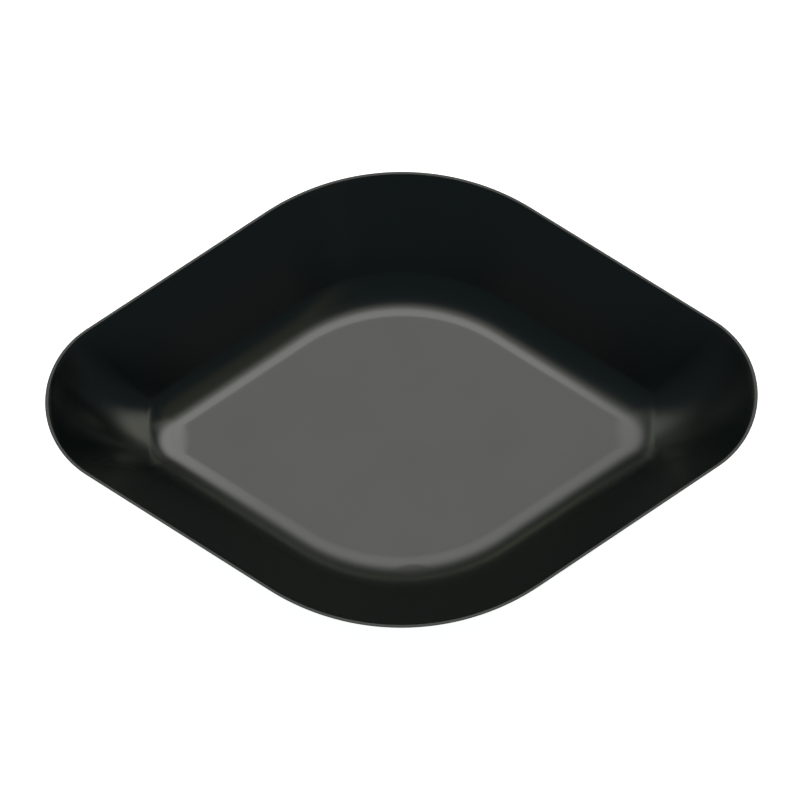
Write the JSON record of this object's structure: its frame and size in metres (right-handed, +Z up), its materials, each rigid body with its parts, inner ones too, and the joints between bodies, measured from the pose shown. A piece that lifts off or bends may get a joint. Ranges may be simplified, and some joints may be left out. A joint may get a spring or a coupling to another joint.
{
  "type": "weighing boat",
  "caption": "Shallow diamond-shaped dish in thin black plastic, with a flat floor and flared sides, for weighing out and pouring powders or liquids.",
  "frame": {"origin": "centre of the flat underside that the boat stands on", "axes": "+X along the long diagonal to a pointed tip, +Y along the short diagonal to a blunt corner, +Z up out of the open top"},
  "size_m": [0.13, 0.09, 0.019],
  "materials": {
    "black_plastic": "satin black polystyrene with a fine even grain"
  },
  "bodies": {
    "root": {"boat": "black_plastic"}
  },
  "joints": []
}
